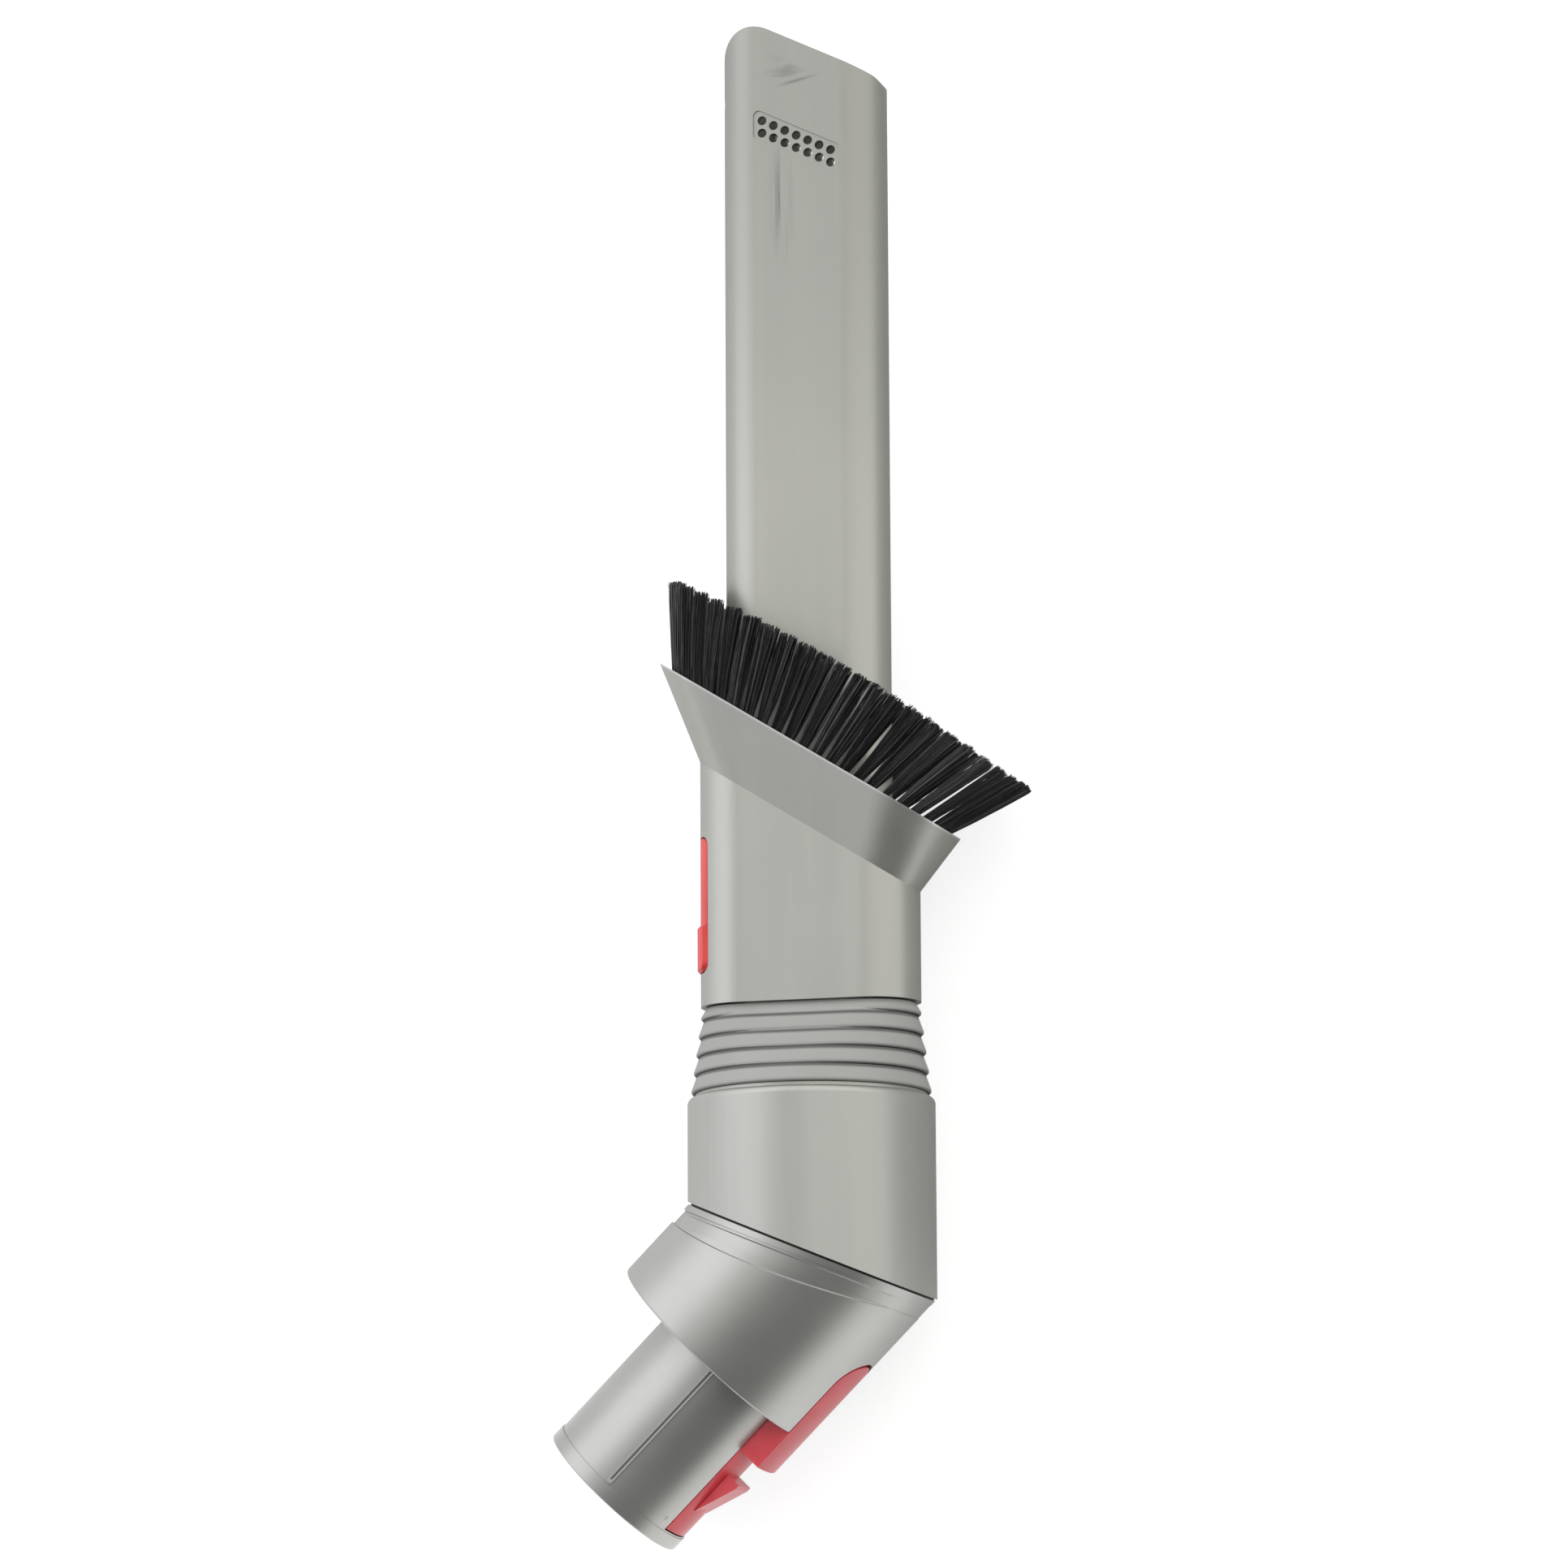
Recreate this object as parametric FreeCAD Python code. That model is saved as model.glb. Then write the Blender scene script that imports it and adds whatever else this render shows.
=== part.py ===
import FreeCAD, Part
import math
import os

from FreeCAD import Matrix, Placement, Vector

# Crevice tool for a cordless vacuum cleaner, in millimetres.
# It lies on its back: +Y runs along the tube to the tip, +X is the low side of the slanted tip, +Z is up.
# The origin is the centre of the connector's mouth. Shapes are first made about the centre of the swivel.

# Crevice tube, a flat oval
tube_width = 36.0
tube_depth = 16.6
tube_wall = 1.8
plan_corner = 0.5             # lower corners of the plan, inside the grip
tip_height = 262.1            # slanted end above the swivel centre, on the tube's axis
tip_slope = 26.4              # degrees
tip_high_radius = 8.0
tip_low_radius = 3.5

# Bleed holes through both flat sides, in slanted columns on a shallow panel
bleed_radius = 1.0
bleed_columns = 7
bleed_rows = 2
bleed_pitch = 2.55            # across the tube
bleed_row_pitch = 2.75
bleed_below_tip = 22.4
bleed_panel_width = 19.2
bleed_panel_depth = 0.25
bleed_panel_margin = 2.0
bleed_panel_corner = 1.2

# Notches for the brush catch in the tube's narrow edge
notch_height = 2.0
notch_depth = 0.7
notch_width = 8.0

# Brush sleeve, a larger flat oval that slides on the tube
sleeve_width = 47.8
sleeve_depth = 20.75
sleeve_wall = 1.6
sleeve_bottom = 52.5
sleeve_clearance = 0.3
sleeve_lip = 1.6
sleeve_travel = 149.0
crease_height = 90.9          # where the flare starts, on the tube's axis
flare_slope = 32.0            # degrees
mouth_height = 107.4
mouth_length = 76.7           # along the slope
mouth_depth = 33.0
mouth_wall = 1.5
guide_rib_width = 1.6
guide_rib_length = 20.0

# Ring of tufts in the flare's mouth
ring_sink = 0.6
ring_thickness = 3.6
ring_width = 4.6
tuft_count = 48
tuft_root_radius = 1.0
tuft_tip_radius = 1.45
tuft_length = 20.5
tuft_root_depth = 1.2
tuft_hole_play = 0.08
tuft_inset = 1.85             # from the flare's inner wall to the row's middle
tuft_left_margin = 1.5        # the row stops short of the left end, where the wall leans most
tuft_lean_ends = 32.0         # degrees from the mouth's normal
tuft_lean_sides = 15.0
tuft_sides = 8

# Catch button in the sleeve's narrow side
button_width = 14.7
button_bottom = 59.8
button_top = 88.6
button_wall = 1.4
button_gap = 0.3
button_corner = 2.0
pad_top = 70.0
pad_proud = 0.7
pad_chamfer = 0.63
button_pivot_height = 74.2
button_pivot_inset = 4.9      # from the sleeve's outer face to the pin's axis
button_pin_radius = 0.6
button_pin_length = 16.6
button_pin_play = 0.05
button_lug_radius = 1.2
button_lug_width = 3.3
button_lug_inner = 3.6
catch_arm_width = 5.0
catch_arm_thickness = 1.1
catch_arm_inset = 3.5
catch_arm_top = 102.4
catch_neck_drop = 6.0         # below the button's top
catch_neck_height = 2.0
catch_tooth_height = 1.6
catch_tooth_gap = 0.3
leaf_thickness = 0.3
leaf_width = 4.0
leaf_foot = 2.0
leaf_stand = 3.0              # from the tube's edge to the leaf's upright
leaf_knee_height = 1.5
leaf_bend_height = 8.5
leaf_bend_gap = 0.15
leaf_end_height = 11.5
leaf_end_gap = 0.6

# Ribbed neck between the sleeve and the grip
neck_top_gap = 0.3
rib_count = 5
rib_pitch = 4.05
first_lip_below_sleeve = 2.9
rib_top_width = 47.7
rib_top_depth = 20.7
rib_bottom_diameter = 50.9
rib_relief = 1.1
rib_round = 0.35
rib_flat = 0.4
rib_split = 0.3
neck_band_relief = 1.35
neck_band_wall = 0.45

# Grip and its bearing wall at the oblique swivel plane
grip_radius = 26.3
grip_wall = 2.0
grip_top = 32.6
grip_top_round = 1.5
plug_length = 8.0
plug_wall = 2.0
plug_rim_radius = 24.6
plug_rim_height = 0.7
funnel_ledge = 0.4
swivel_angle = 22.5           # degrees between the swivel axis and the tube
swivel_half_gap = 0.25
swivel_wall = 3.0
journal_radius = 18.5
journal_wall = 1.9
journal_play = 0.06
journal_top = 5.9
clip_groove_depth = 0.6
clip_thickness = 1.4
clip_width = 2.9
clip_play = 0.15
clip_opening = 24.0           # degrees
seal_inner_radius = 20.1
seal_width = 1.8
seal_height = 1.2
seal_groove_play = 0.1

# Elbow collar and connector
elbow_angle = 45.0            # degrees between the connector's axis and the tube
collar_radius = 26.0
collar_wall = 2.0
collar_length = 29.8          # swivel centre to the rim, along the connector
collar_rim_round = 0.6
band_start = 1.3
band_width = 3.4
band_depth = 0.45
band_least_depth = 0.08
spigot_radius = 17.5
spigot_wall = 2.0
spigot_end = 66.2             # swivel centre to the mouth, along the connector
spigot_offset = 4.1           # the connector sits nearer to the latch
spigot_start = 14.0
spigot_root_radius = 17.2     # inside the collar, above the seat
spigot_relief = 0.25          # the barrel is thinner than the nose that fits the wand
nose_length = 3.2
spigot_end_round = 0.4
seat_recess = 1.0
seat_thickness = 2.0
hairpin_angle = 83.0          # degrees from the latch, on both sides
hairpin_width = 1.3
hairpin_height = 0.35
hairpin_end_margin = 3.6

# Release latch, its trough, pin and spring
latch_width = 14.5
latch_side_gap = 0.35
latch_swing_gap = 0.8         # round the button's upper end
latch_start = 9.1
latch_button_end = 39.5
latch_end_margin = 3.9        # lever end to the spigot's mouth
latch_skin = 2.0
latch_end_wall = 1.8
lever_thickness = 1.5
lever_sink = 0.3              # below the spigot's outer face
latch_block_lift = 1.0
trough_floor = 12.0           # above the spigot's axis
trough_wall = 1.4
hook_start = 45.4
hook_length = 10.5
hook_height = 2.5
hook_flat = 1.0
hook_width = 9.0
latch_pin_radius = 0.8
latch_pin_play = 0.05
latch_pin_height = 14.0       # above the spigot's axis
latch_pin_margin = 1.9        # lever end to the pin's axis
latch_pin_length = 18.8
latch_hub_radius = 1.8
spring_place = 20.0           # swivel centre to the coil's axis, along the connector
spring_radius = 3.0
spring_wire = 0.3
spring_turns = 4
spring_steps = 10             # straight lengths in a turn
spring_sides = 6
spring_boss_radius = 2.2
spring_boss_height = 1.2

reach = 400.0                 # longer than the whole tool, for cutting tools
least_flat = 0.01             # an oval with shorter straight sides is made a circle
hidden_arc_steps = 14         # flats on each round end of the forms inside the neck and the flare
groove_play = 0.02

X = Vector(1, 0, 0)
Y = Vector(0, 1, 0)
Z = Vector(0, 0, 1)


def slope_frame(angle, height):
    """Frame on the tube's axis: local Z is tilted from +Y towards +X by angle, local X runs down the slope."""
    turn = math.radians(angle)
    along = Vector(math.cos(turn), -math.sin(turn), 0)
    up = Vector(math.sin(turn), math.cos(turn), 0)
    return frame(Vector(0, height, 0), along, up)


def frame(origin, x_dir, z_dir):
    """Placement of a local frame from its origin and the directions of its X and Z."""
    y_dir = z_dir.cross(x_dir)
    first = (x_dir.x, y_dir.x, z_dir.x, origin.x)
    second = (x_dir.y, y_dir.y, z_dir.y, origin.y)
    third = (x_dir.z, y_dir.z, z_dir.z, origin.z)
    return Placement(Matrix(*first, *second, *third, 0, 0, 0, 1))


def put(shape, place):
    """Copy of a shape made in a local frame, moved to its place."""
    moved = shape.copy()
    moved.Placement = place.multiply(moved.Placement)
    return moved


tube_frame = slope_frame(0, 0)
swivel_frame = slope_frame(swivel_angle, 0)
mouth_frame = slope_frame(flare_slope, mouth_height)

bend = math.radians(elbow_angle)
connector_out = Vector(-math.sin(bend), -math.cos(bend), 0)
connector_side = Vector(math.cos(bend), -math.sin(bend), 0)
connector_frame = frame(Vector(0, 0, 0), connector_side, connector_out)
mouth_centre = connector_out * spigot_end + connector_side * spigot_offset


def oval(width, depth, height=0.0):
    """Flat oval wire about the local Z axis, its round ends on local X."""
    r = depth / 2
    c = width / 2 - r
    if c < least_flat:
        return Part.Wire(Part.makeCircle(r, Vector(0, 0, height), Z))
    low = Part.makeLine(Vector(-c, -r, height), Vector(c, -r, height))
    right = Part.Arc(Vector(c, -r, height), Vector(c + r, 0, height), Vector(c, r, height)).toShape()
    high = Part.makeLine(Vector(c, r, height), Vector(-c, r, height))
    left = Part.Arc(Vector(-c, r, height), Vector(-c - r, 0, height), Vector(-c, -r, height)).toShape()
    return Part.Wire([low, right, high, left])


def faceted_oval(width, depth, height=0.0):
    """Closed outline of many flats through the points of a flat oval."""
    r = depth / 2
    c = max(width / 2 - r, least_flat)
    points = []
    for side in (1, -1):
        for step in range(hidden_arc_steps + 1):
            turn = math.pi * (step / hidden_arc_steps - 0.5)
            points.append(Vector(side * (c + r * math.cos(turn)), side * r * math.sin(turn), height))
    return Part.makePolygon(points + points[:1])


def tapered_oval(width, depth, start, end, taper):
    """Solid flat oval along the tube, drawn in evenly by a taper towards its end."""
    r = depth / 2
    c = width / 2 - r
    if c < least_flat:
        return put(Part.makeCone(r, r - taper, end - start, Vector(0, 0, start), Z), tube_frame)
    middle = Part.Face(Part.makePolygon([
        Vector(-c, -r, start),
        Vector(-c, r, start),
        Vector(-c, r - taper, end),
        Vector(-c, taper - r, end),
        Vector(-c, -r, start),
    ])).extrude(Vector(2 * c, 0, 0))
    ends = [Part.makeCone(r, r - taper, end - start, Vector(side * c, 0, start), Z) for side in (-1, 1)]
    return put(middle.fuse(ends), tube_frame)


def oval_prism(width, depth, start, end):
    """Solid flat oval along the tube, from one height to the other."""
    face = Part.Face(oval(width, depth, start))
    return put(face.extrude(Vector(0, 0, end - start)), tube_frame)


def round_bar(radius, start, end, x=0.0, y=0.0):
    """Solid cylinder along local Z."""
    return Part.makeCylinder(radius, end - start, Vector(x, y, start), Z)


def box(x0, x1, y0, y1, z0, z1):
    """Solid box between two corners."""
    return Part.makeBox(x1 - x0, y1 - y0, z1 - z0, Vector(x0, y0, z0))


def half_space(place, start, end):
    """Large slab across a local frame's Z axis, between two heights on it."""
    return put(box(-reach, reach, -reach, reach, start, end), place)


def sloped(outline, height):
    """An upright form's outline, as the flare's slope cuts it at a height on the tube's axis."""
    shear = Matrix()
    shear.A21 = -math.tan(math.radians(flare_slope))
    flat = put(outline, tube_frame)
    sheared = flat.transformGeometry(shear)
    sheared.translate(Vector(0, height, 0))
    return sheared


def rounded_plan(points, radii):
    """Closed wire through corner points, each corner rounded by its own radius."""
    count = len(points)
    edges = []
    starts = []
    ends = []
    arcs = []
    for i, corner in enumerate(points):
        back = (points[i - 1] - corner).normalize()
        ahead = (points[(i + 1) % count] - corner).normalize()
        half = back.getAngle(ahead) / 2
        run = radii[i] / math.tan(half)
        middle = (back + ahead).normalize()
        touch = radii[i] / math.sin(half) - radii[i]
        starts.append(corner + back * run)
        ends.append(corner + ahead * run)
        arcs.append(corner + middle * touch)
    for i in range(count):
        edges.append(Part.Arc(starts[i], arcs[i], ends[i]).toShape())
        edges.append(Part.makeLine(ends[i], starts[(i + 1) % count]))
    return Part.Wire(edges)


def strip(points, thickness, width):
    """Thin bent strip: a path in the XY plane, thickened to its left and extruded evenly about Z = 0."""
    left = []
    for i, point in enumerate(points):
        before = points[max(i - 1, 0)]
        after = points[min(i + 1, len(points) - 1)]
        run = (after - before).normalize()
        left.append(point + Vector(-run.y, run.x, 0) * thickness)
    outline = Part.makePolygon(points + left[::-1] + [points[0]])
    solid = Part.Face(outline).extrude(Vector(0, 0, width))
    solid.translate(Vector(0, 0, -width / 2))
    return solid


# Crevice tube


def tip_plan():
    """Plan outline of the tube with its slanted, rounded tip."""
    half = tube_width / 2
    rise = half * math.tan(math.radians(tip_slope))
    corners = [
        Vector(-half, 0, -tube_depth),
        Vector(half, 0, -tube_depth),
        Vector(half, tip_height - rise, -tube_depth),
        Vector(-half, tip_height + rise, -tube_depth),
    ]
    wire = rounded_plan(corners, [plan_corner, plan_corner, tip_low_radius, tip_high_radius])
    return Part.Face(wire).extrude(Vector(0, 0, 2 * tube_depth))


def bleed_cutters():
    """Shallow panels on both flats and the columns of holes through both walls."""
    slope = math.tan(math.radians(tip_slope))
    middle = tip_height - bleed_below_tip
    half = bleed_panel_width / 2
    tall = (bleed_rows - 1) * bleed_row_pitch / 2 + bleed_radius + bleed_panel_margin / 2
    corners = [
        Vector(-half, middle + half * slope - tall, 0),
        Vector(half, middle - half * slope - tall, 0),
        Vector(half, middle - half * slope + tall, 0),
        Vector(-half, middle + half * slope + tall, 0),
    ]
    face = Part.Face(rounded_plan(corners, [bleed_panel_corner] * 4))
    panel = face.extrude(Vector(0, 0, tube_depth))
    front = panel.copy()
    front.translate(Vector(0, 0, tube_depth / 2 - bleed_panel_depth))
    rear = panel.copy()
    rear.translate(Vector(0, 0, bleed_panel_depth - 1.5 * tube_depth))
    cutters = [front, rear]
    for column in range(bleed_columns):
        x = (column - (bleed_columns - 1) / 2) * bleed_pitch
        for row in range(bleed_rows):
            y = middle - x * slope + (row - (bleed_rows - 1) / 2) * bleed_row_pitch
            cutters.append(Part.makeCylinder(bleed_radius, 2 * tube_depth, Vector(x, y, -tube_depth), Z))
    return cutters


def funnel(width, depth, diameter, top, bottom):
    """Solid that changes from a flat oval at the top to a round at the bottom."""
    upper = put(faceted_oval(width, depth, top), tube_frame)
    lower = put(faceted_oval(diameter, diameter, bottom), tube_frame)
    return Part.makeLoft([lower, upper], True, True)


neck_top = sleeve_bottom - neck_top_gap
neck_bottom = sleeve_bottom - first_lip_below_sleeve - (rib_count - 1) * rib_pitch
band_inset = neck_band_relief + neck_band_wall


def funnel_outside():
    """Outer form of the tube's root, inside the ribbed band."""
    base = grip_top + plug_rim_height
    width = rib_top_width - 2 * band_inset
    depth = rib_top_depth - 2 * band_inset
    diameter = rib_bottom_diameter - 2 * band_inset
    return funnel(width, depth, diameter, neck_top, base)


def catch_notch(height):
    """Cutter for one notch in the tube's narrow edge."""
    edge = -tube_width / 2
    low = height - notch_height / 2
    return box(edge - 1, edge + notch_depth, low, low + notch_height, -notch_width / 2, notch_width / 2)


def crevice_tube():
    inner_width = tube_width - 2 * tube_wall
    inner_depth = tube_depth - 2 * tube_wall
    plug_radius = grip_radius - grip_wall
    plug_bottom = grip_top - plug_length
    rim_top = grip_top + plug_rim_height
    barrel = oval_prism(tube_width, tube_depth, rim_top, reach).common(tip_plan())
    rim = put(round_bar(plug_rim_radius, grip_top, rim_top), tube_frame)
    plug = put(round_bar(plug_radius, plug_bottom, grip_top), tube_frame)
    body = barrel.fuse([funnel_outside(), rim, plug])
    bore = oval_prism(inner_width, inner_depth, neck_top, reach)
    plug_bore = 2 * (plug_radius - plug_wall)
    mouth = funnel(inner_width, inner_depth, plug_bore - 2 * funnel_ledge, neck_top, rim_top)
    root = put(round_bar(plug_bore / 2, plug_bottom - 1, rim_top), tube_frame)
    tooth_height = catch_arm_top - catch_tooth_height / 2
    notches = [catch_notch(tooth_height), catch_notch(tooth_height + sleeve_travel)]
    return body.cut([bore, mouth, root] + bleed_cutters() + notches)


# Ribbed neck


def rib_size(height):
    """Width and depth of the ribs' lips at a height: they turn from flat to round on the way down."""
    top_lip = sleeve_bottom - first_lip_below_sleeve
    share = min(max((top_lip - height) / (top_lip - neck_bottom), 0), 1)
    width = rib_top_width + share * (rib_bottom_diameter - rib_top_width)
    depth = rib_top_depth + share * (rib_bottom_diameter - rib_top_depth)
    return width, depth


def rib(lip, top):
    """One rib: a rounded lip at its foot, a narrow flat, and a slope in to its top."""
    width, depth = rib_size(lip)
    flat_start = lip + rib_round
    flat_end = flat_start + rib_flat
    foot = tapered_oval(width - 2 * rib_round, depth - 2 * rib_round, lip, flat_start, -rib_round)
    flat = oval_prism(width, depth, flat_start, flat_end)
    slope = tapered_oval(width, depth, flat_end, top, rib_relief)
    return foot.fuse([flat, slope]).removeSplitter()


def ribbed_neck():
    bottom = grip_top + plug_rim_height
    inset = 2 * neck_band_relief
    outlines = []
    for height in (bottom, neck_top):
        width, depth = rib_size(height)
        outlines.append(put(faceted_oval(width - inset, depth - inset, height), tube_frame))
    root = funnel_outside()
    band = Part.makeLoft(outlines, True, True).cut(root)
    ribs = []
    for index in range(rib_count):
        lip = sleeve_bottom - first_lip_below_sleeve - index * rib_pitch
        top = min(lip + rib_pitch - rib_split, neck_top)
        ribs.append(rib(lip, top).cut(root))
    return band.fuse(ribs).removeSplitter()


# Grip and swivel


def grip_body():
    shell = put(round_bar(grip_radius, -reach / 4, grip_top), tube_frame)
    top_edges = [edge for edge in shell.Edges if abs(edge.BoundBox.YMin - grip_top) < 0.01]
    shell = shell.makeFillet(grip_top_round, top_edges[:1])
    shell = shell.common(half_space(swivel_frame, swivel_half_gap, reach))
    hollow = put(round_bar(grip_radius - grip_wall, -reach / 4, grip_top + 1), tube_frame)
    hollow = hollow.common(half_space(swivel_frame, swivel_half_gap + swivel_wall, reach))
    hole = put(round_bar(journal_radius + journal_play, -reach / 4, reach / 4), swivel_frame)
    hole = hole.common(half_space(swivel_frame, -1, swivel_half_gap + swivel_wall + 1))
    return shell.cut([hollow, hole])


def swivel_clip():
    """Open retaining ring in the journal's groove, above the grip's bearing wall."""
    low = swivel_half_gap + swivel_wall + clip_play
    inner = journal_radius - clip_groove_depth
    ring = round_bar(inner + clip_width, low, low + clip_thickness).cut(round_bar(inner, low - 1, low + 3))
    half = math.radians(clip_opening / 2)
    far = 2 * journal_radius
    wedge = Part.makePolygon([
        Vector(0, 0, low - 1),
        Vector(far * math.cos(half), -far * math.sin(half), low - 1),
        Vector(far * math.cos(half), far * math.sin(half), low - 1),
        Vector(0, 0, low - 1),
    ])
    return put(ring.cut(Part.Face(wedge).extrude(Vector(0, 0, 5))), swivel_frame)


def swivel_seal():
    """Soft ring in a groove of the elbow's face."""
    top = -swivel_half_gap + seal_groove_play
    ring = round_bar(seal_inner_radius + seal_width, top - seal_height, top)
    return put(ring.cut(round_bar(seal_inner_radius, top - 3, top + 1)), swivel_frame)


def elbow_collar():
    inner_radius = collar_radius - collar_wall
    below = half_space(swivel_frame, -reach, -swivel_half_gap)
    shell = round_bar(collar_radius, -reach / 4, collar_length)
    rim_edges = [edge for edge in shell.Edges if abs(edge.BoundBox.ZMin - collar_length) < 0.01]
    shell = shell.makeFillet(collar_rim_round, rim_edges[:1])
    shell = put(shell, connector_frame).common(below)
    hollow = put(round_bar(inner_radius, -reach / 4, reach / 4), connector_frame)
    hollow = hollow.common(half_space(swivel_frame, -reach, -swivel_half_gap - swivel_wall))
    shell = shell.cut([hollow, crescent_band()])
    journal = put(round_bar(journal_radius, -swivel_half_gap - swivel_wall, journal_top), swivel_frame)
    groove_low = swivel_half_gap + swivel_wall + clip_play - groove_play
    groove = round_bar(journal_radius + 1, groove_low, groove_low + clip_thickness + 2 * groove_play)
    groove = groove.cut(round_bar(journal_radius - clip_groove_depth, groove_low - 1, groove_low + 3))
    bore = put(round_bar(journal_radius - journal_wall, -reach / 4, journal_top + 1), swivel_frame)
    bore = bore.common(half_space(swivel_frame, -swivel_half_gap - swivel_wall - 1, reach))
    seal_top = -swivel_half_gap + 1
    seal_low = -swivel_half_gap - seal_height + seal_groove_play
    seat = round_bar(seal_inner_radius + seal_width, seal_low, seal_top)
    seat = seat.cut(round_bar(seal_inner_radius, seal_low - 1, seal_top + 1))
    window = put(latch_plan(latch_side_gap, latch_swing_gap, reach), connector_frame)
    cutters = [bore, put(groove, swivel_frame), put(seat, swivel_frame), window]
    return shell.fuse(journal).cut(cutters)


def crescent_band():
    """Shallow step round the collar below the joint, deepest on the inside of the bend."""
    slab = half_space(swivel_frame, -swivel_half_gap - band_start - band_width, -swivel_half_gap - band_start)
    wide = put(round_bar(collar_radius + 1, -reach / 4, reach / 4), connector_frame)
    fade = (band_depth - band_least_depth) / 2
    core = round_bar(collar_radius - band_least_depth - fade, -reach / 4, reach / 4, x=fade)
    return slab.common(wide).cut(put(core, connector_frame))


# Connector


def latch_plan(side_gap, upper_gap, end):
    """Prism of the latch button's plan, with its round upper end, widened by the gaps."""
    half = latch_width / 2 + side_gap
    start = latch_start - upper_gap
    low = trough_floor
    arc = Part.Arc(Vector(low, -half, start + half), Vector(low, 0, start), Vector(low, half, start + half))
    sides = Part.makePolygon([
        Vector(low, half, start + half),
        Vector(low, half, end),
        Vector(low, -half, end),
        Vector(low, -half, start + half),
    ])
    wire = Part.Wire([arc.toShape()] + sides.Edges)
    return Part.Face(wire).extrude(Vector(reach / 4, 0, 0))


def trough():
    """Walls of the latch's trough, sunk into the airway and closed at both ends."""
    half = latch_width / 2 + latch_side_gap + trough_wall
    start = latch_start - latch_swing_gap - trough_wall
    end = spigot_end - latch_end_margin + latch_side_gap + trough_wall
    low = spigot_offset + trough_floor - trough_wall
    seat_low = collar_length - seat_recess
    upper = box(low, reach, -half, half, start, seat_low)
    upper = upper.common(round_bar(collar_radius - collar_wall, start - 1, seat_low))
    lower = box(low, reach, -half, half, seat_low - 1, end)
    lower = lower.common(round_bar(spigot_radius - spigot_wall / 2, seat_low - 1, end, x=spigot_offset))
    return upper.fuse(lower)


def trough_space():
    """The room inside the trough."""
    half = latch_width / 2 + latch_side_gap
    start = latch_start - latch_swing_gap
    end = spigot_end - latch_end_margin + latch_side_gap
    low = spigot_offset + trough_floor
    return box(low, reach, -half, half, start, end)


def hairpin(side):
    """Thin raised rib with a round end, along the spigot."""
    turn = side * hairpin_angle
    half = hairpin_width / 2
    start = collar_length - seat_recess
    end = spigot_end - hairpin_end_margin
    base = spigot_radius - 1
    top = spigot_radius - spigot_relief + hairpin_height
    bar = box(base, top, -half, half, start, end - half)
    tip = Part.makeCylinder(half, top - base, Vector(base, 0, end - half), X)
    rib = bar.fuse(tip)
    rib.rotate(Vector(0, 0, 0), Z, turn)
    rib.translate(Vector(spigot_offset, 0, 0))
    return rib


def latch_pin_bar(radius, length):
    """Cylinder on the latch's axis, across the connector."""
    along = spigot_end - latch_end_margin - latch_pin_margin
    base = Vector(spigot_offset + latch_pin_height, -length / 2, along)
    return Part.makeCylinder(radius, length, base, Y)


def spring_boss(start, height):
    """Short boss that holds one end of the latch's coil."""
    return Part.makeCylinder(spring_boss_radius, height, Vector(start, 0, spring_place), X)


def spigot():
    seat_low = collar_length - seat_recess
    root = round_bar(spigot_root_radius, spigot_start, seat_low, x=spigot_offset)
    barrel = round_bar(spigot_radius - spigot_relief, seat_low - seat_thickness, spigot_end - 1, x=spigot_offset)
    nose = round_bar(spigot_radius, spigot_end - nose_length, spigot_end, x=spigot_offset)
    end_edges = [edge for edge in nose.Edges if abs(edge.BoundBox.ZMin - spigot_end) < 0.01]
    nose = nose.makeFillet(spigot_end_round, end_edges[:1])
    seat = round_bar(collar_radius - collar_wall, seat_low - seat_thickness, seat_low)
    bore = round_bar(spigot_radius - spigot_wall, 0, spigot_end + 1, x=spigot_offset)
    body = barrel.fuse([nose, root, seat, hairpin(1), hairpin(-1)]).cut(bore)
    body = body.fuse(trough()).cut([trough_space(), latch_pin_bar(latch_pin_radius, latch_pin_length)])
    body = body.fuse(spring_boss(spigot_offset + trough_floor, spring_boss_height))
    return put(body, connector_frame)


# Release latch


def release_latch():
    end = spigot_end - latch_end_margin
    half = latch_width / 2
    plan = latch_plan(0, 0, end)
    outer = round_bar(collar_radius, latch_start - 1, latch_button_end)
    inner = round_bar(collar_radius - latch_skin, latch_start - 2, latch_button_end - latch_end_wall)
    skin = plan.common(outer).cut(inner)
    lever_high = spigot_radius - lever_sink
    lever_low = lever_high - lever_thickness
    lever_start = latch_button_end - latch_end_wall
    lever = plan.common(round_bar(lever_high, lever_start, end, x=spigot_offset))
    lever = lever.cut(round_bar(lever_low, lever_start - 1, end + 1, x=spigot_offset))
    wall_low = spigot_offset + math.sqrt(lever_low ** 2 - half ** 2)
    end_wall = skin.common(box(0, reach, -half, half, lever_start, latch_button_end))
    end_wall = end_wall.common(box(wall_low + lever_thickness, reach, -half, half, 0, reach))
    skin = skin.cut(box(-reach, wall_low + lever_thickness, -half, half, 0, reach))
    side_start = collar_length + latch_side_gap
    block = box(wall_low + latch_block_lift, reach, -half, half, side_start, latch_button_end)
    block = block.common(round_bar(collar_radius, side_start, latch_button_end))
    room_half = half - latch_end_wall
    room = box(0, collar_radius - latch_skin, -room_half, room_half, side_start - 1, lever_start)
    block = block.cut(room)
    hub = latch_pin_bar(latch_hub_radius, latch_width)
    hole = latch_pin_bar(latch_pin_radius + latch_pin_play, latch_width + 2)
    boss = spring_boss(collar_radius - latch_skin - spring_boss_height, spring_boss_height + latch_skin / 2)
    body = skin.fuse([end_wall, block, lever, hub, hook(), boss])
    return put(body.cut(hole), connector_frame)


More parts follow.
